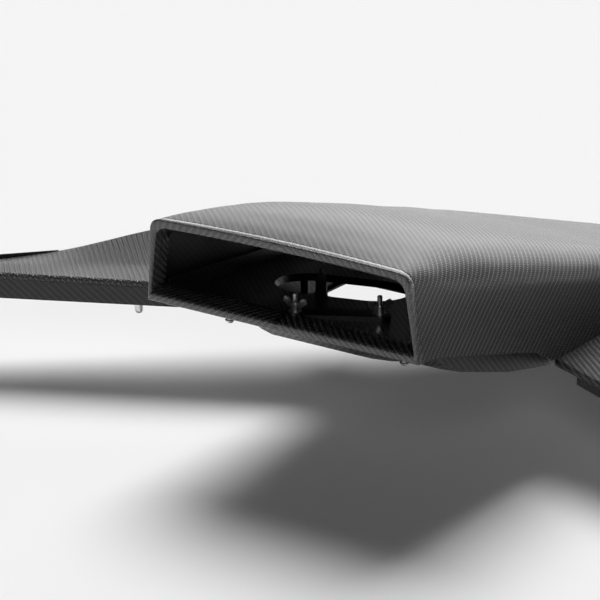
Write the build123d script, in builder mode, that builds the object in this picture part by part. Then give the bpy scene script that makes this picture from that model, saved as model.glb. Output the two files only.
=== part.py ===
"""Rear deck wing: a ram-air scoop moulding between two forward-swept wing panels.

Frame: millimetres, +X to the right seen from the front, +Y rearwards, +Z up.  The origin is on the
plane the four mounting pins stand on, midway along the length and on the plane of symmetry.
"""
import os
from math import atan2, cos, radians, sin

from build123d import *

# ---------------------------------------------------------------- driving dimensions
LENGTH = 645.0           # front lip to tail
SKIN = 2.0               # laminate thickness of the mouldings
MOUNT_DROP = 112.0       # the mouth's datum above the mounting plane

MOUTH_HEIGHT = 82.5      # crown of the mouth above the datum
MOUTH_RAKE = 4.6         # the top edge stands this far ahead of the lower edge
LIP_DEPTH = 20.0         # depth of the lip ring
LIP_GAP = 0.6            # bond line between the lip ring and the shell

ROOT_X = 160.2           # where a wing panel meets the body
TIP_X = 547.0
LEAD_ROOT_Y = 259.2      # leading edge at the root, behind the mouth
LEAD_SLOPE = -0.5        # leading edge runs forward this much for each mm outboard
NOSE_HEIGHT = 9.0
NOSE_DEPTH = 15.0
FLANGE_FOOT = -100.0     # underside of the recessed flange
FLANGE_SETBACK = 7.0
FLANGE_START_X = 187.0
FLANGE_DEPTH = 54.0
TRAIL_SLOPE = -0.966     # trailing edge runs forward this much for each mm outboard
TRAIL_Y = 371.0          # trailing edge at TRAIL_X
TRAIL_X = 310.0
TRAIL_LIP = [(466.0, 0.8), (547.0, 8.0)]       # outboard distance and rise of the upturned lip
TIP_PLATE = 4.0

FLOOR_FALL = -0.07       # slope of the duct floor
FLOOR_START = LIP_DEPTH + 1.5
FLOOR_END = 228.0        # rear edge of the duct floor, behind the mouth
FLOOR_SIDE = 149.0       # half-width over the floor's upturned sides
FLOOR_SIDE_HEIGHT = 14.0

OUTLET_CENTRE = (-32.0, 156.0)
OUTLET_LENGTH = 138.0
OUTLET_WIDTH = 78.0
OUTLET_TURN = 20.0       # degrees from the X axis
RIM_WALL = 2.0
RIM_HEIGHT = 6.0
FIN_FOOT = (-25.5, 110.0)
FIN_PROFILE = [(7.5, 0.0), (6.5, 8.0), (6.5, 17.0), (3.0, 23.0), (0.8, 31.0)]   # half-width, height

CLAMP_CENTRE = (24.75, 65.0)
CLAMP_TURN = 30.0        # degrees from the X axis
CLAMP_PITCH = 82.0       # stud to stud
CLAMP_LENGTH = 104.0
CLAMP_WIDTH = 20.0
CLAMP_THICK = 3.0
STUD_D = 5.0             # M5 clamp studs
STUD_RISE = 18.5         # above the plate
STUD_HEAD_H = 2.2
RUN_FIT = 0.1            # radial running clearance on a stud
SEAT_GAP = 0.05
WASHER_D = 12.5
WASHER_THICK = 1.2
NUT_BODY_D = 10.5
NUT_BODY_H = 7.0
NUT_SPAN = 26.0
NUT_WING_H = 13.0
NUT_WING_THICK = 2.2
NUT_TURNS = {"left": 3.0, "right": 55.0}

PAN_TOP_SLOPE = -0.28    # the body's lower edge falls this much for each mm rearwards
PAN_RIM_HALF = 155.5     # half-width over the pan's rim
PAN_RIM_DROP = 0.4       # the rim lies this far below the body's lower edge
PAN_SCREWS = [(104.0, 63.0), (121.0, 217.0)]
SCREW_D = 5.0            # M5 button head
SCREW_HEAD_D = 9.5
SCREW_HEAD_H = 2.7
SCREW_LENGTH = 14.0
SCREW_SOCKET = 3.0       # hexagon key, across flats
SPACER_D = 9.0
SPACER_END = 12.0        # the spacer's hole stops this far below the duct floor
PAN_SEAT = {63.0: -35.6, 217.0: -86.3}          # where the screw heads bear under the pan
SPACER_FOOT = {63.0: -28.9, 217.0: -81.6}       # where the spacers stand inside the pan

FRONT_MOUNT = (326.0, 192.0)    # mounting pins in the leading flanges
REAR_MOUNT = (205.0, 405.0)     # mounting pins in the rear rib
MOUNT_SHANK_D = 6.0      # M6
MOUNT_PIN_D = 9.5
MOUNT_PIN_H = 6.5        # straight part of the pin
MOUNT_WASHER_D = 14.0
MOUNT_NUT_H = 5.0
MOUNT_NUT_FLATS = 10.0   # across flats
SHANK_PROUD = 2.0        # the shank stands this far out of its nut
STRIP_WIDTH = 14.0       # bonding strip under the joint of panel and body
STRIP_DROP = 3.6         # its upper face below the panel's upper face
RIB_WIDTH = 40.0
RIB_HALF = 240.0
RIB_LOW_WEB = 8.0        # web height where the rib crosses under the body

CUT_LOW = -140.0         # cutting tools reach from below everything they cut
CUT_HIGH = 60.0          # to above it

FRONT_Y = -LENGTH / 2 + MOUTH_RAKE      # lower edge of the mouth


def place(x, y, z):
    """A point given from the datum low in the middle of the mouth, in the part's own frame."""
    return (x, y + FRONT_Y, z + MOUNT_DROP)


def lead_y(x):
    """Leading edge of a wing panel, behind the mouth."""
    return LEAD_ROOT_Y + LEAD_SLOPE * (abs(x) - ROOT_X)


def trail_y(x):
    """Trailing edge of a wing panel, behind the mouth."""
    return TRAIL_Y + TRAIL_SLOPE * (abs(x) - TRAIL_X)


def floor_z(y):
    """Upper face of the duct floor."""
    return -2.0 + FLOOR_FALL * y


def pan_top(y):
    """Rim of the lower pan, which follows the body's lower edge."""
    return PAN_TOP_SLOPE * y


os.makedirs("parts", exist_ok=True)
volumes = {}


def finish(builder, name):
    """Label a piece and write its file."""
    builder.part.label = name
    export_step(builder.part, f"parts/{name}.step")
    volumes[name] = round(builder.part.volume)


# ---------------------------------------------------------------- shared shapes
def blend(low, high, share):
    """The value a share of the way from low to high."""
    return low + (high - low) * share


def side_polygon(points, x):
    """Face in the upright plane at x, through (distance behind the mouth, height) points."""
    with BuildSketch(Plane.YZ.offset(x)) as profile:
        with BuildLine():
            Polyline(*[place(0, y, z)[1:] for y, z in points], close=True)
        make_face()
    return profile.sketch


def side_block(points, x_from, x_to):
    """The side view through points, extruded from x_from to x_to."""
    with BuildPart() as block:
        extrude(side_polygon(points, x_from), amount=x_to - x_from, dir=(1, 0, 0))
    return block.part


def sheet_points(line, thickness):
    """Side view of a sheet: a line of its upper face and the same line, thickness below."""
    return line + [(y, z - thickness) for y, z in reversed(line)]


def oval(length, width, centre, turn, top, height):
    """An upright oval prism from top downwards, its long axis turned from +X."""
    with BuildPart() as prism:
        with BuildSketch(Plane(origin=place(*centre, top))) as outline:
            SlotOverall(length, width, rotation=turn)
        extrude(amount=-height)
    return prism.part


def rod(x, y, bottom, top, diameter):
    """An upright round rod."""
    with BuildPart() as bar:
        with BuildSketch(Plane(origin=place(x, y, bottom))):
            Circle(diameter / 2)
        extrude(amount=top - bottom)
    return bar.part


def spread(centre, pitch, turn):
    """Two points a pitch apart about a centre."""
    step = (pitch / 2 * cos(radians(turn)), pitch / 2 * sin(radians(turn)))
    return [(centre[0] - step[0], centre[1] - step[1]), (centre[0] + step[0], centre[1] + step[1])]


def corners(x, y_values):
    """The points at +x and -x for each y."""
    return [(side * x, y) for side in (-1, 1) for y in y_values]


# ---------------------------------------------------------------- body shell
# distance behind the mouth: half-width and height of the lower edge, half-width and height where
# side and top would meet, height of the crown, and how far the rounded shoulder falls down the side
# and reaches in over the top
STATIONS = [
    (0.0, 158.5, -8.0, 150.0, 79.5, 82.5, 12.0, 12.0),
    (30.0, 158.5, -10.0, 150.0, 78.5, 84.5, 20.0, 24.0),
    (60.0, 158.5, -17.5, 150.0, 76.0, 84.5, 28.0, 36.0),
    (100.0, 158.5, -28.3, 150.0, 70.0, 81.5, 32.0, 44.0),
    (140.0, 158.5, -39.5, 150.5, 61.5, 75.0, 32.0, 46.0),
    (180.0, 158.5, -50.5, 151.0, 51.0, 65.5, 32.0, 48.0),
    (220.0, 158.5, -62.5, 151.5, 40.5, 54.5, 32.0, 50.0),
    (262.0, 159.5, -82.0, 152.0, 29.5, 43.0, 32.0, 50.0),
    (330.0, 159.8, -82.0, 153.0, 10.5, 21.5, 30.0, 50.0),
    (410.0, 159.8, -73.0, 154.0, -10.5, -2.5, 26.0, 46.0),
    (490.0, 158.0, -55.0, 151.0, -34.0, -28.5, 14.0, 30.0),
    (560.0, 116.0, -60.0, 110.0, -51.5, -46.0, 4.5, 12.0),
    (640.4, 31.0, -72.0, 28.0, -68.5, -66.0, 1.2, 3.0),
]


def mouth_plane(depth):
    """A plane raked like the mouth, a depth behind it, seen from behind."""
    lean = atan2(MOUTH_RAKE, MOUTH_HEIGHT)
    return Plane(origin=place(0, depth, 0), x_dir=(-1, 0, 0), z_dir=(0, cos(lean), sin(lean)))


def arch(plane, sizes, inset, drop):
    """Closed outline with a crowned top and rounded shoulders, moved in by inset, lowered by drop."""
    half_foot, foot, half_top, shoulder, crown, fall, reach = sizes
    half_foot, half_top = half_foot - inset, half_top - inset
    shoulder, crown = shoulder - inset, crown - inset
    top_x = half_top - reach
    sag = (crown - shoulder) / (2 * top_x * half_top - top_x ** 2)
    top_z = crown - sag * top_x ** 2
    side_x = blend(half_top, half_foot, fall / (shoulder - foot))
    side_z = shoulder - fall
    with BuildSketch(plane) as outline:
        with BuildLine():
            ThreePointArc((-top_x, top_z), (0, crown), (top_x, top_z))
            Bezier((top_x, top_z), (half_top, shoulder), (side_x, side_z))
            Polyline((side_x, side_z), (half_foot, foot - drop), (-half_foot, foot - drop),
                     (-side_x, side_z))
            Bezier((-side_x, side_z), (-half_top, shoulder), (-top_x, top_z))
        make_face()
    return outline.sketch


def body_section(station):
    """Thin arched section of the body, open at the foot."""
    y, *sizes = station
    upright = Plane(origin=place(0, y, 0), x_dir=(-1, 0, 0), z_dir=(0, 1, 0))
    plane = mouth_plane(y) if y == 0.0 else upright
    return arch(plane, sizes, 0.0, 0.0) - arch(plane, sizes, SKIN, 4.0)


with BuildPart() as scoop_shell:
    loft(sections=[body_section(station) for station in STATIONS], ruled=True)
finish(scoop_shell, "scoop_shell")


# ---------------------------------------------------------------- mouth lip
# the opening at the front and at the back of the lip ring, in the same order as a station's sizes
OPENING_FRONT = (153.5, 1.5, 143.0, 70.0, 73.0, 12.0, 12.0)
OPENING_REAR = (150.5, 6.5, 140.5, 66.5, 70.0, 13.0, 14.0)
LIP_FRONT = 0.3          # the ring starts this far behind the shell's edge
LIP_SHARE = 0.6          # the ring's rear edge lies this share of the way to the second station

lip_front = STATIONS[0][1:]
lip_rear = [blend(a, b, LIP_SHARE) for a, b in zip(STATIONS[0][1:], STATIONS[1][1:])]
front_plane = mouth_plane(LIP_FRONT)
rear_plane = mouth_plane(LIP_DEPTH)
with BuildPart() as mouth_lip:
    loft(sections=[arch(front_plane, lip_front, SKIN + LIP_GAP, 0.0),
                   arch(rear_plane, lip_rear, SKIN + LIP_GAP, 0.0)], ruled=True)
    loft(sections=[arch(front_plane, OPENING_FRONT, 0.0, 0.0),
                   arch(rear_plane, OPENING_REAR, 0.0, 0.0)], ruled=True, mode=Mode.SUBTRACT)
finish(mouth_lip, "mouth_lip")


# ---------------------------------------------------------------- duct floor, outlet rim and fin
stud_points = spread(CLAMP_CENTRE, CLAMP_PITCH, CLAMP_TURN)
outlet_hole = oval(OUTLET_LENGTH, OUTLET_WIDTH, OUTLET_CENTRE, OUTLET_TURN, CUT_HIGH, CUT_HIGH - CUT_LOW)
floor_line = [(FLOOR_START, floor_z(FLOOR_START)), (FLOOR_END, floor_z(FLOOR_END))]
spacer_points = [point for x, y in PAN_SCREWS for point in corners(x, [y])]

floor_plane = Plane(origin=place(0, *floor_line[0]), x_dir=(-1, 0, 0), z_dir=(0, 1, FLOOR_FALL))
with BuildPart() as intake_floor:
    with BuildSketch(floor_plane):
        with BuildLine():
            Polyline((-FLOOR_SIDE, FLOOR_SIDE_HEIGHT), (-FLOOR_SIDE, -SKIN), (FLOOR_SIDE, -SKIN),
                     (FLOOR_SIDE, FLOOR_SIDE_HEIGHT), (FLOOR_SIDE - SKIN, FLOOR_SIDE_HEIGHT),
                     (FLOOR_SIDE - SKIN, 0), (SKIN - FLOOR_SIDE, 0),
                     (SKIN - FLOOR_SIDE, FLOOR_SIDE_HEIGHT), close=True)
        make_face()
    extrude(amount=FLOOR_END - FLOOR_START)
    add(outlet_hole, mode=Mode.SUBTRACT)
    for x, y in stud_points:
        add(rod(x, y, CUT_LOW, CUT_HIGH, STUD_D), mode=Mode.SUBTRACT)
finish(intake_floor, "intake_floor")

with BuildPart() as outlet_rim:
    add(oval(OUTLET_LENGTH + 2 * RIM_WALL, OUTLET_WIDTH + 2 * RIM_WALL, OUTLET_CENTRE, OUTLET_TURN,
             CUT_HIGH, CUT_HIGH - CUT_LOW))
    add(outlet_hole, mode=Mode.SUBTRACT)
    under_floor = [(y, z - SKIN - SEAT_GAP) for y, z in floor_line]
    add(side_block(sheet_points(under_floor, RIM_HEIGHT), -FLOOR_SIDE, FLOOR_SIDE), mode=Mode.INTERSECT)
finish(outlet_rim, "outlet_rim")

fin_origin = place(*FIN_FOOT, floor_z(FIN_FOOT[1] - SKIN / 2))
with BuildPart() as outlet_fin:
    with BuildSketch(Plane(origin=fin_origin, x_dir=(1, 0, 0), z_dir=(0, -1, 0))):
        with BuildLine():
            Polyline(*FIN_PROFILE, *[(-x, z) for x, z in reversed(FIN_PROFILE)], close=True)
        make_face()
    extrude(amount=SKIN / 2, both=True)
finish(outlet_fin, "outlet_fin")


# ---------------------------------------------------------------- clamp plate, studs and wing nuts
PLATE_TOP = floor_z(stud_points[0][1]) + CLAMP_THICK
below_floor = side_block(sheet_points([(0.0, floor_z(0.0)), (FLOOR_END, floor_z(FLOOR_END))], -CUT_LOW),
                         -FLOOR_SIDE, FLOOR_SIDE)

with BuildPart() as clamp_plate:
    add(oval(CLAMP_LENGTH, CLAMP_WIDTH, CLAMP_CENTRE, CLAMP_TURN, PLATE_TOP, PLATE_TOP - CUT_LOW))
    add(below_floor, mode=Mode.SUBTRACT)
    for x, y in stud_points:
        add(rod(x, y, CUT_LOW, CUT_HIGH, STUD_D), mode=Mode.SUBTRACT)
finish(clamp_plate, "clamp_plate")

with BuildPart() as clamp_studs:
    for x, y in stud_points:
        head_bottom = floor_z(y) - SKIN - 2.6
        add(rod(x, y, head_bottom, PLATE_TOP + STUD_RISE, STUD_D))
        add(rod(x, y, head_bottom, head_bottom + STUD_HEAD_H, 2 * STUD_D))
    chamfer(clamp_studs.edges().filter_by(GeomType.CIRCLE).group_by(Axis.Z)[-1], 0.6)
finish(clamp_studs, "clamp_studs")


def captive_washer(x, y):
    """Round washer held under a wing nut."""
    with BuildPart() as washer:
        add(rod(x, y, PLATE_TOP + SEAT_GAP, PLATE_TOP + SEAT_GAP + WASHER_THICK, WASHER_D))
        add(rod(x, y, CUT_LOW, CUT_HIGH, STUD_D + 2 * RUN_FIT), mode=Mode.SUBTRACT)
    return washer


def wing_nut(x, y, turn):
    """Wing nut: a tapered boss with two ears that rise outward, bored for the stud."""
    seat = PLATE_TOP + WASHER_THICK + 2 * SEAT_GAP
    ear_plane = Plane(origin=place(x, y, seat), x_dir=(cos(radians(turn)), sin(radians(turn)), 0),
                      z_dir=(sin(radians(turn)), -cos(radians(turn)), 0))
    with BuildPart() as nut:
        with BuildSketch(Plane(origin=place(x, y, seat))):
            Circle(NUT_BODY_D / 2)
        extrude(amount=NUT_BODY_H, taper=6)
        for way in (-1, 1):
            with BuildSketch(ear_plane) as ear:
                with BuildLine():
                    Polyline((way * 3.0, 1.5), (way * 7.0, 3.0), (way * NUT_SPAN / 2, NUT_WING_H - 5.0),
                             (way * (NUT_SPAN / 2 - 1.5), NUT_WING_H),
                             (way * (NUT_SPAN / 2 - 6.0), NUT_WING_H - 1.5),
                             (way * 3.0, NUT_BODY_H - 1.0), close=True)
                make_face()
                fillet(ear.vertices().group_by(Axis.Y)[-1], 1.2)
            extrude(amount=NUT_WING_THICK / 2, both=True)
        add(rod(x, y, CUT_LOW, CUT_HIGH, STUD_D + 2 * RUN_FIT), mode=Mode.SUBTRACT)
    return nut


for side, (x, y) in zip(("left", "right"), stud_points):
    finish(captive_washer(x, y), f"{side}_clamp_washer")
    finish(wing_nut(x, y, NUT_TURNS[side]), f"{side}_wing_nut")


# ---------------------------------------------------------------- lower pan and its fasteners
PAN_LOWER = [(40.0, -24.0), (60.0, -39.0), (87.0, -51.0), (123.0, -65.0), (180.0, -83.0),
             (219.0, -92.0), (270.0, -103.0)]
PAN_START = 24.0
PAN_END = 280.0
# half-width, rise of the bottom
PAN_SHOULDERS = [(150.0, 11.0), (130.0, 6.5), (104.0, 7.0), (72.0, 7.0), (62.0, 3.0), (50.0, 0.0)]


def pan_section(x, rise, inset):
    """Side view of the pan's closed body at x, moved in by inset and open above if inset."""
    lower = [(y, z + rise + inset) for y, z in PAN_LOWER]
    start = (PAN_START + 2 * inset, pan_top(PAN_START) + 4 * inset)
    end = (PAN_END - 2 * inset, pan_top(PAN_END) + 4 * inset)
    return side_polygon([start] + lower + [end], x)


def pan_body(inset):
    """The pan's body lofted across its width, moved in by inset."""
    half = [(x - inset, rise) for x, rise in PAN_SHOULDERS]
    stations = [(-x, rise) for x, rise in half] + list(reversed(half))
    with BuildPart() as body:
        loft(sections=[pan_section(x, rise, inset) for x, rise in stations], ruled=True)
    return body.part


pan_rim = [(y, pan_top(y) - PAN_RIM_DROP) for y in (PAN_START, PAN_END - 4.0)]
with BuildPart() as lower_pan:
    add(side_block(sheet_points(pan_rim, SKIN), -PAN_RIM_HALF, PAN_RIM_HALF))
    add(pan_body(0.0))
    add(pan_body(SKIN), mode=Mode.SUBTRACT)
    for x, y in spacer_points:
        add(rod(x, y, CUT_LOW, CUT_HIGH, SCREW_D), mode=Mode.SUBTRACT)
    above_rim = pan_rim + [(PAN_END, CUT_HIGH), (PAN_START, CUT_HIGH)]
    add(side_block(above_rim, -PAN_RIM_HALF, PAN_RIM_HALF), mode=Mode.SUBTRACT)
finish(lower_pan, "lower_pan")

with BuildPart() as pan_spacers:
    for x, y in spacer_points:
        add(rod(x, y, SPACER_FOOT[y], floor_z(y) - SKIN - 0.4, SPACER_D))
        add(rod(x, y, PAN_SEAT[y], floor_z(y) - SPACER_END, SCREW_D), mode=Mode.SUBTRACT)
finish(pan_spacers, "pan_spacers")

with BuildPart() as pan_screws:
    for x, y in spacer_points:
        add(rod(x, y, PAN_SEAT[y] - SCREW_HEAD_H / 2, PAN_SEAT[y] + SCREW_LENGTH, SCREW_D))
        with BuildSketch(Plane(origin=place(x, y, PAN_SEAT[y]))):
            Circle(SCREW_HEAD_D / 2)
        extrude(amount=-SCREW_HEAD_H, taper=30)
        with BuildSketch(Plane(origin=place(x, y, PAN_SEAT[y] - SCREW_HEAD_H))):
            RegularPolygon(SCREW_SOCKET / 2, 6, major_radius=False)
        extrude(amount=SCREW_HEAD_H * 0.6, mode=Mode.SUBTRACT)
finish(pan_screws, "pan_screws")


# ---------------------------------------------------------------- wing panels
# outboard distance and the panel's height at 0, 1/3, 2/3 and all of the chord
PANEL = [
    (ROOT_X, (-81.5, -81.0, -67.0, -46.0)),
    (230.0, (-79.5, -76.0, -61.0, -40.0)),
    (310.0, (-70.0, -70.0, -58.5, -38.5)),
    (387.0, (-69.0, -70.0, -64.5, -54.0)),
    (466.0, (-68.5, -69.4, -73.0, -74.5)),
    (TIP_X, (-69.0, -69.6, -77.0, -85.0)),
]


def chord_line(x, heights, drop):
    """Side view of the panel's surface at x, lowered by drop."""
    lead = lead_y(x)
    chord = trail_y(x) - lead
    return [(lead + chord * i / 3, z - drop) for i, z in enumerate(heights)]


def plan_points(x_from, x_to, setback, depth):
    """Plan view of a band along the leading edge, set back from it and as deep as given."""
    front = [(x, lead_y(x) + setback) for x in (x_from, x_to)]
    return front + [(x, y + depth) for x, y in reversed(front)]


def plan_block(points, bottom, height):
    """The plan view through (x, distance behind the mouth) points, extruded upwards."""
    with BuildPart() as block:
        with BuildSketch(Plane(origin=place(0, 0, bottom))):
            with BuildLine():
                Polyline(*points, close=True)
            make_face()
        extrude(amount=height)
    return block.part


def nose_points(x, lead_z):
    """Side view of the rounded nose rail, its front following a half ellipse."""
    y = lead_y(x)
    top = lead_z - SKIN - 0.6
    middle = top - (NOSE_HEIGHT - SKIN) / 2
    half = (NOSE_HEIGHT - SKIN) / 2
    front = [(y + 4.0 - 4.0 * sin(radians(a)), middle + half * cos(radians(a))) for a in range(0, 181, 30)]
    return front + [(y + NOSE_DEPTH, top - NOSE_HEIGHT + SKIN), (y + NOSE_DEPTH, top)]


def web_points(x, lead_z):
    """Side view of the flange's web, from its foot to just under the nose rail."""
    y = lead_y(x) + FLANGE_SETBACK
    top = lead_z - NOSE_HEIGHT - 0.7
    return [(y, FLANGE_FOOT), (y + SKIN, FLANGE_FOOT), (y + SKIN, top), (y, top)]


def trail_points(x, z, rise):
    """Side view of the upturned trailing lip."""
    y = trail_y(x)
    return [(y, z - SKIN), (y + SKIN, z - SKIN), (y + SKIN, z + rise), (y, z + rise)]


front_mounts = corners(FRONT_MOUNT[0], [FRONT_MOUNT[1]])
rear_mounts = corners(REAR_MOUNT[0], [REAR_MOUNT[1]])
all_mounts = front_mounts + rear_mounts


def both_sides(right, name):
    """Write a right-hand piece and its mirror image."""
    finish(right, f"right_{name}")
    with BuildPart() as left:
        add(mirror(right.part, Plane.YZ))
    finish(left, f"left_{name}")


with BuildPart() as wing_skin:
    loft(sections=[side_polygon(chord_line(x, heights, 0.0) + chord_line(x, heights, SKIN)[::-1], x)
                   for x, heights in PANEL], ruled=True)
both_sides(wing_skin, "wing_skin")

with BuildPart() as wing_nose:
    loft(sections=[side_polygon(nose_points(x, heights[0]), x) for x, heights in PANEL], ruled=True)
both_sides(wing_nose, "wing_nose")

start_share = (FLANGE_START_X - ROOT_X) / (PANEL[1][0] - ROOT_X)
web_stations = [(FLANGE_START_X, blend(PANEL[0][1][0], PANEL[1][1][0], start_share))]
web_stations += [(x, heights[0]) for x, heights in PANEL[1:]]
flange_foot = plan_points(FLANGE_START_X, TIP_X, FLANGE_SETBACK, FLANGE_DEPTH)
with BuildPart() as wing_flange:
    add(plan_block(flange_foot, FLANGE_FOOT, SKIN))
    loft(sections=[side_polygon(web_points(x, lead_z), x) for x, lead_z in web_stations], ruled=True)
    add(rod(*FRONT_MOUNT, CUT_LOW, CUT_HIGH, MOUNT_SHANK_D), mode=Mode.SUBTRACT)
both_sides(wing_flange, "wing_flange")

with BuildPart() as trailing_lip:
    loft(sections=[side_polygon(trail_points(x, dict(PANEL)[x][-1], rise), x) for x, rise in TRAIL_LIP],
         ruled=True)
both_sides(trailing_lip, "trailing_lip")

RIB_FRONT = REAR_MOUNT[1] - RIB_WIDTH / 2
RIB_REAR = REAR_MOUNT[1] + RIB_WIDTH / 2


def bay(y_from, y_to):
    """Side view of a cut from below everything to above it."""
    return [(y_from, CUT_LOW), (y_to, CUT_LOW), (y_to, CUT_HIGH), (y_from, CUT_HIGH)]


strip_line = chord_line(ROOT_X, PANEL[0][1], STRIP_DROP)
strip_inner = ROOT_X - 5.5
strip_outer = ROOT_X + STRIP_WIDTH
with BuildPart() as root_strip:
    add(side_block(sheet_points(strip_line, SKIN), strip_inner, strip_outer))
    add(side_block(bay(RIB_FRONT - 1.0, RIB_REAR + 1.0), ROOT_X + 3.0, strip_outer), mode=Mode.SUBTRACT)
    add(side_block(bay(LEAD_ROOT_Y, LEAD_ROOT_Y + NOSE_DEPTH + 1.0), strip_inner, strip_outer),
        mode=Mode.SUBTRACT)
both_sides(root_strip, "root_strip")

tip_lead = lead_y(TIP_X)
tip_trail = trail_y(TIP_X)
with BuildPart() as tip_plate:
    with BuildSketch(Plane.YZ.offset(TIP_X)) as outline:
        with BuildLine():
            Polyline(*[place(0, y, z)[1:] for y, z in
                       ((tip_lead - 3.0, -62.0), (tip_trail + 6.0, -72.0), (tip_trail + 6.0, -92.0),
                        (tip_lead + 62.0, -102.0), (tip_lead + 8.0, -102.0), (tip_lead - 3.0, -92.0))],
                     close=True)
        make_face()
        fillet(outline.vertices(), 4.0)
    extrude(amount=TIP_PLATE)
both_sides(tip_plate, "tip_plate")


# ---------------------------------------------------------------- rear rib
def panel_z(x, y):
    """Height of a panel's upper face at an outboard distance and a distance behind the mouth."""
    inner = max(i for i, (edge, _) in enumerate(PANEL[:-1]) if edge <= max(x, ROOT_X))
    (x0, heights0), (x1, heights1) = PANEL[inner], PANEL[inner + 1]
    heights = [blend(z0, z1, (x - x0) / (x1 - x0)) for z0, z1 in zip(heights0, heights1)]
    chord_share = 3 * (y - lead_y(x)) / (trail_y(x) - lead_y(x))
    third = min(int(chord_share), 2)
    return blend(heights[third], heights[third + 1], chord_share - third)


def rib_web(y_front):
    """Upright web of the rear rib: low under the body, rising to the panels' lower faces."""
    low = FLANGE_FOOT + RIB_LOW_WEB
    crest = [ROOT_X + 6.0, 185.0, 207.0, PANEL[1][0], RIB_HALF]
    under_panel = [(x, panel_z(x, y_front) - SKIN - 0.5) for x in crest]
    half = [(crest[0], low)] + under_panel + [(RIB_HALF, FLANGE_FOOT)]
    points = [(-x, z) for x, z in reversed(half)] + half
    web_plane = Plane(origin=(0, place(0, y_front, 0)[1], 0), x_dir=(-1, 0, 0), z_dir=(0, 1, 0))
    with BuildPart() as web:
        with BuildSketch(web_plane):
            with BuildLine():
                Polyline(*[(-x, z + MOUNT_DROP) for x, z in points], close=True)
            make_face()
        extrude(amount=SKIN)
    return web.part


with BuildPart() as rear_rib:
    add(rib_web(RIB_FRONT))
    add(rib_web(RIB_REAR - SKIN))
    with BuildSketch(Plane(origin=place(0, (RIB_FRONT + RIB_REAR) / 2, FLANGE_FOOT))):
        Rectangle(2 * RIB_HALF, RIB_WIDTH)
    extrude(amount=SKIN)
    for x, y in rear_mounts:
        add(rod(x, y, CUT_LOW, FLANGE_FOOT + SKIN, MOUNT_SHANK_D), mode=Mode.SUBTRACT)
finish(rear_rib, "rear_rib")


# ---------------------------------------------------------------- mounting pins
PIN_BOTTOM = -MOUNT_DROP
PIN_TOP = FLANGE_FOOT - 1.0
with BuildPart() as mounting_pins:
    for x, y in all_mounts:
        add(rod(x, y, PIN_TOP, FLANGE_FOOT + SKIN + MOUNT_NUT_H + SHANK_PROUD, MOUNT_SHANK_D))
        with BuildSketch(Plane(origin=place(x, y, PIN_TOP), x_dir=(1, 0, 0), z_dir=(0, 1, 0))):
            with BuildLine():
                Line((0, 0), (-MOUNT_PIN_D / 2, 0))
                Line((-MOUNT_PIN_D / 2, 0), (-MOUNT_PIN_D / 2, MOUNT_PIN_H))
                TangentArc((0, PIN_TOP - PIN_BOTTOM), (-MOUNT_PIN_D / 2, MOUNT_PIN_H), tangent=(-1, 0))
                Line((0, PIN_TOP - PIN_BOTTOM), (0, 0))
            make_face()
        revolve(axis=Axis(place(x, y, 0), (0, 0, 1)))
finish(mounting_pins, "mounting_pins")

with BuildPart() as mounting_washers:
    for x, y in all_mounts:
        add(rod(x, y, PIN_TOP, FLANGE_FOOT, MOUNT_WASHER_D))
        add(rod(x, y, CUT_LOW, CUT_HIGH, MOUNT_SHANK_D), mode=Mode.SUBTRACT)
finish(mounting_washers, "mounting_washers")

with BuildPart() as mounting_nuts:
    for x, y in all_mounts:
        with BuildSketch(Plane(origin=place(x, y, FLANGE_FOOT + SKIN))):
            RegularPolygon(MOUNT_NUT_FLATS / 2, 6, major_radius=False)
            Circle(MOUNT_SHANK_D / 2, mode=Mode.SUBTRACT)
        extrude(amount=MOUNT_NUT_H)
finish(mounting_nuts, "mounting_nuts")
print(volumes)
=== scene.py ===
"""Rear deck wing with a ram-air scoop: mouldings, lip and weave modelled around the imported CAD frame."""
from math import cos, dist, pi, radians, sin

import bpy
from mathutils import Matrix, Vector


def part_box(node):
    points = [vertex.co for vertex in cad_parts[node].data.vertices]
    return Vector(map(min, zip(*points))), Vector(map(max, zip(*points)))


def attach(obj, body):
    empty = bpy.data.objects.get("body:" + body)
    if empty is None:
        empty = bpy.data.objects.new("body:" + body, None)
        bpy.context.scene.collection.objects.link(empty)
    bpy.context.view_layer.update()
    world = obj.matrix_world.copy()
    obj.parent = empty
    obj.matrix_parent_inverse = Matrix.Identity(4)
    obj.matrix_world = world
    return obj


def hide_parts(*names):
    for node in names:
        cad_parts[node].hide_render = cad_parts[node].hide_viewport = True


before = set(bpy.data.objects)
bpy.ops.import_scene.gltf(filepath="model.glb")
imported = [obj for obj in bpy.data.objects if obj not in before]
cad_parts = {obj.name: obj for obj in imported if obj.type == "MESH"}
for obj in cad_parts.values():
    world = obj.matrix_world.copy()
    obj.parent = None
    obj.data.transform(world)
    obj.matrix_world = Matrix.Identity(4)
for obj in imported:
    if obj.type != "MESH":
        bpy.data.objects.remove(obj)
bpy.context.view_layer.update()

# ---------------------------------------------------------------- driving values, in millimetres
MM = 0.001
SKIN = 2.0
MOUTH_RAKE = 4.6         # the top of the mouth stands this far ahead of its datum
MOUTH_HEIGHT = 82.5
MOUNT_DROP = 112.0       # height of the mouth's datum above the plane of the mounting pins
FRONT_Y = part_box("scoop_shell")[0][1] / MM + MOUTH_RAKE
SIDES = ((-1, "left"), (1, "right"))
EDGE_SHARE = 0.004       # an extra row this close to a free edge keeps the edge crisp


def row_point(x, y, z):
    """A point given in millimetres from the mouth's datum, in the row frame in metres."""
    return (x * MM, (y + FRONT_Y) * MM, (z + MOUNT_DROP) * MM)


# ---------------------------------------------------------------- small mesh and curve tools
def steps(count, low=0.0, high=1.0):
    """Evenly spaced values from low to high, both included."""
    return [low + (high - low) * i / (count - 1) for i in range(count)]


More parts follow.
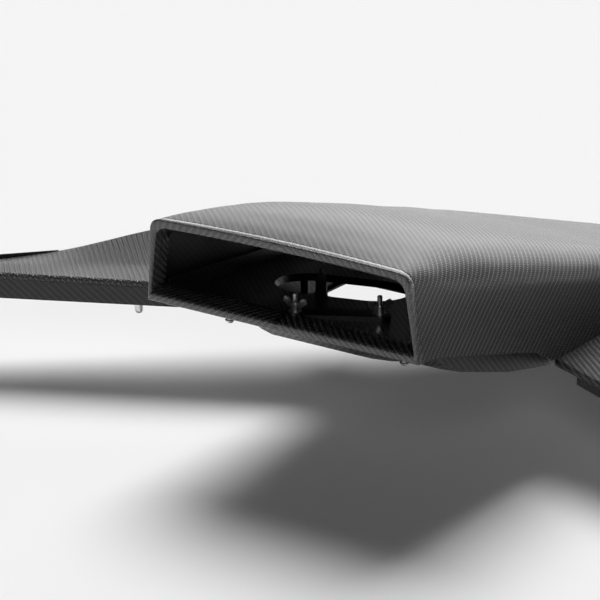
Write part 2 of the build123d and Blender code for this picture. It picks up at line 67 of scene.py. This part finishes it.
def mix(a, b, share):
    """The value, or the tuple of values, a share of the way from a to b."""
    if isinstance(a, (tuple, list)):
        return tuple(mix(p, q, share) for p, q in zip(a, b))
    return a + (b - a) * share


def smooth(table, at):
    """Monotone cubic through (place, value, value, ...) rows."""
    places = [row[0] for row in table]
    at = min(max(at, places[0]), places[-1])
    k = max(i for i in range(len(places) - 1) if places[i] <= at)
    wide = places[k + 1] - places[k]
    t = (at - places[k]) / wide

    def rise(i, column):
        """Slope of a column between rows i and i + 1."""
        return (table[i + 1][column] - table[i][column]) / (places[i + 1] - places[i])

    def slope(i, column):
        """Slope of the curve at row i."""
        if i in (0, len(table) - 1):
            return rise(min(i, len(table) - 2), column)
        left, right = rise(i - 1, column), rise(i, column)
        return 0.0 if left * right <= 0 else 2 * left * right / (left + right)

    values = []
    for column in range(1, len(table[0])):
        a, b = table[k][column], table[k + 1][column]
        m0, m1 = slope(k, column) * wide, slope(k + 1, column) * wide
        values.append(a * (1 - t) ** 2 * (1 + 2 * t) + b * t * t * (3 - 2 * t)
                      + m0 * t * (1 - t) ** 2 - m1 * t * t * (1 - t))
    return values


def running_length(points):
    """Distance from the first point to each point."""
    total = [0.0]
    for a, b in zip(points, points[1:]):
        total.append(total[-1] + dist(a, b))
    return total


def grid_mesh(name, rows, weave, closed_along=False):
    """Smooth-shaded mesh over closed rows of points; weave gives each point's place on the cloth."""
    count = len(rows[0])
    verts = [row_point(*point) for row in rows for point in row]
    faces = []
    for i in range(len(rows) if closed_along else len(rows) - 1):
        a, b = i * count, ((i + 1) % len(rows)) * count
        for j in range(count):
            after = (j + 1) % count
            faces.append((a + j, a + after, b + after, b + j))
    mesh = bpy.data.meshes.new(name)
    mesh.from_pydata(verts, [], faces)
    cloth = [(u * MM, v * MM) for row in weave for u, v in row]
    layer = mesh.uv_layers.new(name="cloth")
    for loop in mesh.loops:
        layer.data[loop.index].uv = cloth[loop.vertex_index]
    mesh.polygons.foreach_set("use_smooth", [True] * len(mesh.polygons))
    mesh.update()
    piece = bpy.data.objects.new(name, mesh)
    bpy.context.scene.collection.objects.link(piece)
    return piece


def finish_piece(piece, material, slot, *nodes):
    """Give a deck piece its material, and let it stand for CAD nodes; the slot is not used."""
    piece.data.materials.append(material)
    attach(piece, "deck")
    if nodes:
        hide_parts(*nodes)


# ---------------------------------------------------------------- node trees
class Nodes:
    """Short calls for building the node tree of a material or of the world."""

    def __init__(self, owner, shader):
        owner.use_nodes = True
        self.tree = owner.node_tree
        self.shader = self.tree.nodes[shader]

    def put(self, value, socket):
        """Link or set one input."""
        if isinstance(value, bpy.types.NodeSocket):
            self.tree.links.new(value, socket)
        else:
            socket.default_value = value

    def set(self, **values):
        """Set or link the shader's inputs by their names, with spaces as underscores."""
        for name, value in values.items():
            self.put(value, self.shader.inputs[name.replace("_", " ")])

    def math(self, kind, *values, clamp=False):
        """A Math node's output."""
        node = self.tree.nodes.new("ShaderNodeMath")
        node.operation = kind
        node.use_clamp = clamp
        for value, socket in zip(values, node.inputs):
            self.put(value, socket)
        return node.outputs[0]

    def either(self, test, a, b):
        """The value a where test is 1, and b where it is 0."""
        other = self.math("SUBTRACT", 1.0, test)
        return self.math("ADD", self.math("MULTIPLY", test, a), self.math("MULTIPLY", other, b))

    def vary(self, middle, noise, swing):
        """A middle value that a noise from 0 to 1 carries up and down by half the swing."""
        return self.math("ADD", middle, self.math("MULTIPLY", self.math("SUBTRACT", noise, 0.5), swing))

    def blend(self, share, a, b):
        """A colour a share of the way from a to b."""
        node = self.tree.nodes.new("ShaderNodeMix")
        node.data_type = "RGBA"
        self.put(share, node.inputs["Factor"])
        self.put(a, node.inputs["A"])
        self.put(b, node.inputs["B"])
        return node.outputs["Result"]

    def coords(self, kind):
        """One output of Texture Coordinate."""
        return self.tree.nodes.new("ShaderNodeTexCoord").outputs[kind]

    def split(self, vector):
        """X, Y and Z of a vector."""
        node = self.tree.nodes.new("ShaderNodeSeparateXYZ")
        self.put(vector, node.inputs[0])
        return node.outputs

    def noise(self, scale, detail):
        """A Noise texture's value on the object, at a scale per metre."""
        node = self.tree.nodes.new("ShaderNodeTexNoise")
        self.put(scale, node.inputs["Scale"])
        self.put(detail, node.inputs["Detail"])
        self.put(self.coords("Object"), node.inputs["Vector"])
        return node.outputs["Fac"]

    def bump(self, height, distance):
        """Drive the shader's normal by a height, whose unit is a distance in millimetres."""
        node = self.tree.nodes.new("ShaderNodeBump")
        self.put(distance * MM, node.inputs["Distance"])
        self.put(height, node.inputs["Height"])
        self.put(node.outputs[0], self.shader.inputs["Normal"])

    def dot(self, vector, fixed):
        """Dot product of a vector with a fixed one."""
        node = self.tree.nodes.new("ShaderNodeVectorMath")
        node.operation = "DOT_PRODUCT"
        self.put(vector, node.inputs[0])
        self.put(fixed, node.inputs[1])
        return node.outputs["Value"]

    def ease(self, value, low, high, top):
        """A smooth rise from 0 where the value is low to top where it is high."""
        node = self.tree.nodes.new("ShaderNodeMapRange")
        node.interpolation_type = "SMOOTHSTEP"
        self.put(value, node.inputs["Value"])
        self.put(low, node.inputs["From Min"])
        self.put(high, node.inputs["From Max"])
        self.put(top, node.inputs["To Max"])
        return node.outputs[0]


def tint(tone, red=1.0, green=1.0, blue=1.0):
    """A grey of a tone, with its channels scaled."""
    return (tone * red, tone * green, tone * blue, 1.0)


# ---------------------------------------------------------------- carbon cloth
TOW = 2.0                # width of one tow
FLOAT = 2.0              # tows that a float of a 2x2 twill passes over
REPEAT = 2 * FLOAT       # tows in one repeat of the weave
FLOAT_END = 0.35         # height of a tow where its float dips under; its middle is 1 higher
TOW_SHADE = 0.85         # share of a tow's own colour at a height of 1; the rest is resin colour, so a lower tow is darker: painted shade in the creases
FILAMENT_SWING = 0.765   # how much the filaments vary that share
# colour of the resin, which also stands as painted shade in the creases between tows
RESIN_AND_CREASE_SHADE = (0.006, 0.006, 0.0065, 1.0)
WEFT_ROUGHER = 0.10      # the weft is this much rougher than the warp
CLOUD_SWING = 0.08       # slow changes of roughness over the whole moulding
COAT_ROUGHNESS = 0.2


def box_places(nodes):
    """Cloth coordinates for a moulding without its own: seen square on to its main direction."""
    x, y, z = nodes.split(nodes.coords("Object"))
    nx, ny, nz = [nodes.math("ABSOLUTE", part) for part in nodes.split(nodes.coords("Normal"))]
    flat = nodes.math("GREATER_THAN", nz, nodes.math("MAXIMUM", nx, ny))
    side = nodes.math("GREATER_THAN", nx, ny)
    return nodes.either(flat, x, nodes.either(side, y, x)), nodes.either(flat, y, z)


def carbon(name, dark, light, roughness, bump, coat=0.0, own_cloth=True):
    """2x2 twill carbon: floats of two tows, each a rounded ridge, over and under at right angles."""
    material = bpy.data.materials.new(name)
    nodes = Nodes(material, "Principled BSDF")
    u, v = nodes.split(nodes.coords("UV"))[:2] if own_cloth else box_places(nodes)
    u = nodes.math("DIVIDE", u, TOW * MM)
    v = nodes.math("DIVIDE", v, TOW * MM)
    column, line = nodes.math("FLOOR", u), nodes.math("FLOOR", v)
    along_warp = nodes.math("WRAP", nodes.math("ADD", v, column), REPEAT, 0.0)
    along_weft = nodes.math("WRAP", nodes.math("ADD", nodes.math("ADD", u, line), FLOAT), REPEAT, 0.0)
    warp = nodes.math("LESS_THAN", along_warp, FLOAT)

    def ridge(across, along):
        """Height of a tow's rounded back, falling away at the ends of its float."""
        centre = nodes.math("SUBTRACT", nodes.math("MULTIPLY", nodes.math("FRACT", across), 2.0), 1.0)
        back = nodes.math("SUBTRACT", 1.0, nodes.math("MULTIPLY", centre, centre))
        hump = nodes.math("SINE", nodes.math("MULTIPLY", along, pi / FLOAT), clamp=True)
        return nodes.math("MULTIPLY", nodes.math("SQRT", back), nodes.math("ADD", FLOAT_END, hump))

    height = nodes.either(warp, ridge(u, along_warp), ridge(v, along_weft))
    filament = nodes.vary(TOW_SHADE, nodes.noise(scale=900.0, detail=4.0), FILAMENT_SWING)
    # where a tow's height falls it gives way to the resin colour: painted shade in the creases and where
    # floats dip under
    lit_tow_share = nodes.math("MULTIPLY", filament, height, clamp=True)
    # warp tows take the light tone and weft tows the dark one: a painted sheen, as both are the same black
    # fibre
    tow_colour_and_sheen = nodes.blend(warp, tint(dark, blue=1.06), tint(light, blue=1.05))
    rough = nodes.either(warp, roughness, roughness + WEFT_ROUGHER)
    nodes.set(Base_Color=nodes.blend(lit_tow_share, RESIN_AND_CREASE_SHADE, tow_colour_and_sheen),
              Roughness=nodes.vary(rough, nodes.noise(scale=9.0, detail=3.0), CLOUD_SWING),
              Coat_Weight=coat, Coat_Roughness=COAT_ROUGHNESS)
    nodes.bump(height, bump)
    return material


# ---------------------------------------------------------------- metal
GRAIN_DEPTH = 0.03
GRAIN_SWING = 0.25       # how much the grain varies the roughness
STAIN = 0.75             # brightness of a stain against the tone


def metal(name, tone, roughness, grain_scale):
    """Plated or anodised metal with fine turning marks and small stains."""
    material = bpy.data.materials.new(name)
    nodes = Nodes(material, "Principled BSDF")
    grain = nodes.noise(grain_scale, detail=6.0)
    stain = nodes.noise(scale=180.0, detail=2.0)
    colour = nodes.blend(stain, tint(tone * STAIN), tint(tone, red=1.15, green=1.14, blue=1.10))
    nodes.set(Base_Color=colour, Roughness=nodes.vary(roughness, grain, GRAIN_SWING), Metallic=1.0)
    nodes.bump(grain, GRAIN_DEPTH)
    return material


# ---------------------------------------------------------------- finishes of the CAD nodes
# light is the warp tone, which carries a painted sheen; dark is the weft tone
twill = carbon("carbon_twill", dark=0.008, light=0.070, roughness=0.30, bump=0.60, coat=0.3)
lip_twill = carbon("carbon_lip_twill", dark=0.006, light=0.070, roughness=0.22, bump=0.40, coat=0.9)
satin = carbon("carbon_satin", dark=0.008, light=0.026, roughness=0.32, bump=0.12, own_cloth=False)
# black carbon for the inside of the scoop, its tones set below the outer carbon's: painted shade of the
# scoop's inside
shaded_gloss = carbon("carbon_gloss", dark=0.003, light=0.007, roughness=0.40, bump=0.03, coat=0.5,
               own_cloth=False)
steel = metal("zinc_steel", tone=0.80, roughness=0.34, grain_scale=900.0)
anodised = metal("black_anodised", tone=0.05, roughness=0.38, grain_scale=600.0)


def both(*names):
    """The left and the right node of each name."""
    return [f"{side}_{name}" for name in names for _, side in SIDES]


node_finish = {
    satin: ["lower_pan", "rear_rib", *both("wing_flange", "trailing_lip", "tip_plate", "root_strip")],
    shaded_gloss: ["intake_floor", "outlet_rim", "outlet_fin"],
    steel: ["clamp_studs", "pan_screws", "mounting_pins", "mounting_washers", "mounting_nuts",
            *both("clamp_washer", "wing_nut")],
    anodised: ["clamp_plate", "pan_spacers"],
}
for material, names in node_finish.items():
    for name in names:
        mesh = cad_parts[name].data
        mesh.materials.clear()
        mesh.materials.append(material)

# ---------------------------------------------------------------- body of the scoop
# distance behind the mouth: half-width and height of the lower edge, half-width and height where
# side and top would meet, height of the crown, and how far the rounded shoulder falls down the side
# and reaches in over the top
STATIONS = [
    (0.0, 158.5, -8.0, 150.0, 79.5, 82.5, 12.0, 12.0),
    (30.0, 158.5, -10.0, 150.0, 78.5, 84.5, 20.0, 24.0),
    (60.0, 158.5, -17.5, 150.0, 76.0, 84.5, 28.0, 36.0),
    (100.0, 158.5, -28.3, 150.0, 70.0, 81.5, 32.0, 44.0),
    (140.0, 158.5, -39.5, 150.5, 61.5, 75.0, 32.0, 46.0),
    (180.0, 158.5, -50.5, 151.0, 51.0, 65.5, 32.0, 48.0),
    (220.0, 158.5, -62.5, 151.5, 40.5, 54.5, 32.0, 50.0),
    (262.0, 159.5, -82.0, 152.0, 29.5, 43.0, 32.0, 50.0),
    (330.0, 159.8, -82.0, 153.0, 10.5, 21.5, 30.0, 50.0),
    (410.0, 159.8, -73.0, 154.0, -10.5, -2.5, 26.0, 46.0),
    (490.0, 158.0, -55.0, 151.0, -34.0, -28.5, 14.0, 30.0),
    (560.0, 116.0, -60.0, 110.0, -51.5, -46.0, 4.5, 12.0),
    (640.4, 31.0, -72.0, 28.0, -68.5, -66.0, 1.2, 3.0),
]
RAKE_FADE = 30.0         # the mouth's rake fades out over this length
SKIN_START = 8.0         # the moulding starts under the rolled edge of the lip
LINING_START = 19.0      # the lining starts behind the lip ring
TAIL_Y = 640.0
OUTER_LAYER = 1.0        # thickness of the moulding; the lining takes the rest of the skin
LAYER_GAP = 0.2          # space between the two
BODY_ROWS = 97
WALL_POINTS = 14
CORNER_POINTS = 13
CROWN_POINTS = 20


def arch_half(sizes, inset):
    """Half of an arched outline, from the foot of the wall up to the middle of the crown."""
    half_foot, foot, half_top, shoulder, crown, fall, reach = sizes
    half_foot, half_top = half_foot - inset, half_top - inset
    shoulder, crown = shoulder - inset, crown - inset
    top_x = half_top - reach
    sag = (crown - shoulder) / (2 * top_x * half_top - top_x ** 2)
    wall_end = mix((half_top, shoulder), (half_foot, foot), fall / (shoulder - foot))
    crown_start = (top_x, crown - sag * top_x ** 2)
    points = [mix((half_foot, foot), wall_end, t) for t in (0.0, EDGE_SHARE, *steps(WALL_POINTS)[1:])]
    for t in steps(CORNER_POINTS)[1:]:
        low = mix(wall_end, (half_top, shoulder), t)
        high = mix((half_top, shoulder), crown_start, t)
        points.append(mix(low, high, t))
    points += [(x, crown - sag * x ** 2) for x in steps(CROWN_POINTS, top_x, 0.0)[1:]]
    return points


def raked(x, y, z, share=1.0):
    """A point moved forward with its height, by a share of the mouth's rake."""
    return (x, y - MOUTH_RAKE / MOUTH_HEIGHT * z * share, z)


def whole_section(y, inset):
    """The body's cross-section at y from the right foot over the crown to the left foot."""
    rake_share = max(0.0, 1.0 - y / RAKE_FADE)
    half = [raked(x, y, z, rake_share) for x, z in arch_half(smooth(STATIONS, y), inset)]
    return half + [(-x, py, z) for x, py, z in reversed(half[:-1])]


def body_rows(places, inset):
    """Sections of the body and the cloth place of each point: girth from the crown, and length."""
    rows, weave = [], []
    for y in places:
        section = whole_section(y, inset)
        girth = running_length(section)
        middle = girth[len(section) // 2]
        rows.append(section)
        weave.append([(middle - g, point[1]) for g, point in zip(girth, section)])
    return rows, weave


def body_skin(name, start, outside, inside):
    """A layer of the body between two insets from its outer face, from a start to the tail."""
    places = steps(BODY_ROWS, start, TAIL_Y)
    outer_rows, outer_weave = body_rows(places, outside)
    inner_rows, inner_weave = body_rows(places, inside)
    rows = [outer + inner[::-1] for outer, inner in zip(outer_rows, inner_rows)]
    weave = [outer + inner[::-1] for outer, inner in zip(outer_weave, inner_weave)]
    return grid_mesh(name, rows, weave)


scoop = body_skin("scoop_moulding", SKIN_START, 0.0, OUTER_LAYER)
finish_piece(scoop, twill, "carbon_twill", "scoop_shell")
# the lining takes the near-black carbon, darkened as painted shade inside the scoop
lining = body_skin("scoop_lining", LINING_START, OUTER_LAYER + LAYER_GAP, SKIN)
finish_piece(lining, shaded_gloss, "carbon_gloss")

# ---------------------------------------------------------------- mouth lip
# the opening at the front and at the back of the lip ring, in the same order as a station's sizes
OPENING_FRONT = (153.5, 1.5, 143.0, 70.0, 73.0, 12.0, 12.0)
OPENING_REAR = (150.5, 6.5, 140.5, 66.5, 70.0, 13.0, 14.0)
OUTER_FRONT = STATIONS[0][1:]
OUTER_REAR = mix(OUTER_FRONT, STATIONS[1][1:], 0.6)     # the body's outline near the ring's back
LIP_DEPTH = 20.0
FOOT_POINTS = 26
BEND_POINTS = 7
FOOT_BEND = 2.5          # length of foot that eases into the wall at each lower corner
WALL_BEND = 0.4          # share of the wall's first step that does the same

# the ring's profile from the rebate on its outside, round the front and back through the opening
OUTER_FACE = [(12.0, 1.4), (8.6, 0.3), (8.0, 0.0), (2.2, 0.0)]                     # depth, inset
FRONT_ROUND = [(1.0, 0.25), (0.3, 0.8), (0.0, 1.6)]                                # depth, inset
INNER_ROUND = [(0.1, 0.50), (0.35, 0.70), (0.95, 0.85), (1.9, 0.95), (3.2, 1.0)]   # depth, share
THROAT = [(5.0, 0.15), (12.0, 0.6), (LIP_DEPTH - 0.4, 1.0)]                        # depth, share
THROAT_END_FLARE = 0.8   # the opening widens by this much at the very back of the ring
REAR_STEP = 2.6          # the ring's back stays this far inside the body's outer face


def lip_ring(sizes, inset, depth):
    """The mouth's closed outline at a depth behind its raked front, from the middle of its foot."""
    foot = sizes[1] + inset
    half = arch_half((sizes[0], foot, *sizes[2:]), inset)
    corner = half[0]
    bend_start = (corner[0] - FOOT_BEND, foot)
    bend_end = mix(corner, half[1], WALL_BEND)
    right = [(x, foot) for x in steps(FOOT_POINTS, 0.0, bend_start[0])]
    right += [mix(mix(bend_start, corner, t), mix(corner, bend_end, t), t) for t in steps(BEND_POINTS)[1:]]
    right += half[1:]
    loop = right + [(-x, z) for x, z in reversed(right[1:-1])]
    return [raked(x, depth, z) for x, z in loop]


lip_rows = [lip_ring(smooth(STATIONS, depth), inset, depth) for depth, inset in OUTER_FACE]
lip_rows += [lip_ring(OUTER_FRONT, inset, depth) for depth, inset in FRONT_ROUND]
lip_rows += [lip_ring(mix(OUTER_FRONT, OPENING_FRONT, share), 0.0, depth) for depth, share in INNER_ROUND]
lip_rows += [lip_ring(mix(OPENING_FRONT, OPENING_REAR, share), 0.0, depth) for depth, share in THROAT]
lip_rows.append(lip_ring(OPENING_REAR, -THROAT_END_FLARE, LIP_DEPTH))
lip_rows.append(lip_ring(OUTER_REAR, REAR_STEP, LIP_DEPTH))
lip_side = running_length([row[FOOT_POINTS // 2] for row in lip_rows])
lip_girth = running_length(lip_ring(OPENING_FRONT, 0.0, 0.0))
lip_around = [min(girth, lip_girth[-1] - girth) for girth in lip_girth]
lip_weave = [[(u, v) for u in lip_around] for v in lip_side]
lip = grid_mesh("mouth_lip_ring", lip_rows, lip_weave, closed_along=True)
finish_piece(lip, lip_twill, "carbon_lip", "mouth_lip")

# ---------------------------------------------------------------- wing panels
ROOT_X = 160.2
TIP_X = 547.0
LEAD_ROOT_Y = 259.2      # the leading edge at the root
LEAD_SLOPE = -0.5
TRAIL_X = 310.0          # a point of the trailing edge
TRAIL_Y = 371.0
TRAIL_SLOPE = -0.966
NOSE_HEIGHT = 9.0
NOSE_DEPTH = 15.0        # the nose runs back this far under the skin
ROOT_TUCK = 4.0          # the panel's root edge reaches this far under the body's foot
# outboard distance, height at 0, 1/3, 2/3 and all of the chord
PANEL = [
    (ROOT_X, -81.5, -81.0, -67.0, -46.0),
    (230.0, -79.5, -76.0, -61.0, -40.0),
    (310.0, -70.0, -70.0, -58.5, -38.5),
    (387.0, -69.0, -70.0, -64.5, -54.0),
    (466.0, -68.5, -69.4, -73.0, -74.5),
    (TIP_X, -69.0, -69.6, -77.0, -85.0),
]
SPAN_ROWS = 66
CHORD_POINTS = 40
CHORD_END = 0.98         # share of the chord where the evenly spaced points end
NOSE_POINTS = 13


def lead_y(x):
    """Leading edge behind the mouth at an outboard distance."""
    return LEAD_ROOT_Y + LEAD_SLOPE * (x - ROOT_X)


def trail_y(x):
    """Trailing edge behind the mouth at an outboard distance."""
    return TRAIL_Y + TRAIL_SLOPE * (x - TRAIL_X)


def panel_profile(x):
    """Closed side view of a panel at x: over the top to the nose, round it and back underneath."""
    heights = smooth(PANEL, x)
    chord = list(zip(steps(len(heights)), heights))
    lead, trail = lead_y(x), trail_y(x)
    top = heights[0]
    foot = top - NOSE_HEIGHT
    radius = NOSE_HEIGHT / 2

    def skin_line(shares, below):
        """Points at shares of the chord, this far below the top of the skin."""
        return [(max(mix(lead, trail, share), lead + radius), smooth(chord, share)[0] - below)
                for share in shares]

    shares = [*steps(CHORD_POINTS, 0.0, CHORD_END), 1.0 - EDGE_SHARE, 1.0]
    nose = [(lead + radius * (1 - sin(a)), top - radius * (1 - cos(a)))
            for a in steps(NOSE_POINTS, 0.0, pi)[1:]]
    back = [(lead + NOSE_DEPTH, foot), (lead + NOSE_DEPTH, foot + SKIN),
            (lead + radius, foot + SKIN), (lead + radius, top - SKIN)]
    return skin_line(shares[::-1], 0.0) + nose + back + skin_line(shares[1:], SKIN)


def wing_panel(side, name):
    """One wing panel with its rounded nose, on the side of the sign given."""
    rows, weave = [], []
    for x in steps(SPAN_ROWS, ROOT_X - ROOT_TUCK, TIP_X):
        profile = panel_profile(x)
        rows.append([(side * x, y, z) for y, z in profile])
        weave.append([(side * x, profile[0][0] - g) for g in running_length(profile)])
    return grid_mesh(name, rows, weave)


for side, name in SIDES:
    panel = wing_panel(side, f"{name}_wing_panel")
    finish_piece(panel, twill, "carbon_twill", f"{name}_wing_skin", f"{name}_wing_nose")

# ---------------------------------------------------------------- studio
FLOOR_DROP = 0.085       # the part stands this far above the studio floor, in metres
FLOOR_SIZE = 60.0        # in metres
VIEW_AZIMUTH = 35.4      # degrees that the camera looks round from straight back
VIEW_ELEVATION = 19.3    # degrees that it looks down
AIM_POINT = (0.0, 33.25, 14.63)     # just behind the foot of the mouth
CAMERA_DISTANCE = 2400.1
LENS = 150.0
SENSOR_WIDTH = 36.0
FRAME_SHIFT = 0.0042     # moves the mouth to its place in the picture
BASE_LIGHT = 0.02
SOFT_EDGE = 0.55         # share of a light patch's width that has its full strength
# azimuth and elevation of the middle and half-width in degrees, and strength
LIGHT_PATCHES = [
    (VIEW_AZIMUTH, 66.0, 24.0, 8.7),            # high behind the part
    (VIEW_AZIMUTH - 20.0, 6.0, 32.0, 2.2),      # along the horizon behind it
    (VIEW_AZIMUTH + 178.0, 28.0, 11.0, 5.0),    # just above the camera
]


def towards(azimuth, elevation):
    """Unit vector at degrees round from straight back and degrees above the horizon."""
    azimuth, elevation = radians(azimuth), radians(elevation)
    return (-sin(azimuth) * cos(elevation), cos(azimuth) * cos(elevation), sin(elevation))


def light_dome():
    """World light: an even base with soft patches."""
    world = bpy.data.worlds.new("studio_dome")
    bpy.context.scene.world = world
    nodes = Nodes(world, "Background")
    direction = nodes.coords("Generated")
    total = BASE_LIGHT
    for azimuth, elevation, width, strength in LIGHT_PATCHES:
        middle = nodes.dot(direction, towards(azimuth, elevation))
        patch = nodes.ease(middle, cos(radians(width)), cos(radians(width * SOFT_EDGE)), strength)
        total = nodes.math("ADD", patch, total)
    nodes.set(Color=tint(1.0), Strength=total)


def studio_floor():
    """A wide sheet of white paper under the part."""
    bpy.ops.mesh.primitive_plane_add(size=FLOOR_SIZE, location=(0, 0, -FLOOR_DROP))
    floor = bpy.context.object
    floor.name = "studio_floor"
    paper = bpy.data.materials.new("studio_paper")
    Nodes(paper, "Principled BSDF").set(Base_Color=tint(0.9), Roughness=0.9, Specular_IOR_Level=0.0)
    floor.data.materials.append(paper)


def studio_camera():
    """A long lens, well back from the mouth."""
    camera_data = bpy.data.cameras.new("camera")
    camera_data.lens = LENS
    camera_data.sensor_width = SENSOR_WIDTH
    camera_data.shift_x = FRAME_SHIFT
    camera = bpy.data.objects.new("camera", camera_data)
    sight = towards(VIEW_AZIMUTH, -VIEW_ELEVATION)
    camera.location = row_point(*(at - CAMERA_DISTANCE * way for at, way in zip(AIM_POINT, sight)))
    camera.rotation_euler = (radians(90.0 - VIEW_ELEVATION), 0.0, radians(VIEW_AZIMUTH))
    bpy.context.scene.collection.objects.link(camera)
    bpy.context.scene.camera = camera


light_dome()
studio_floor()
studio_camera()
bpy.context.scene.view_settings.view_transform = "Standard"
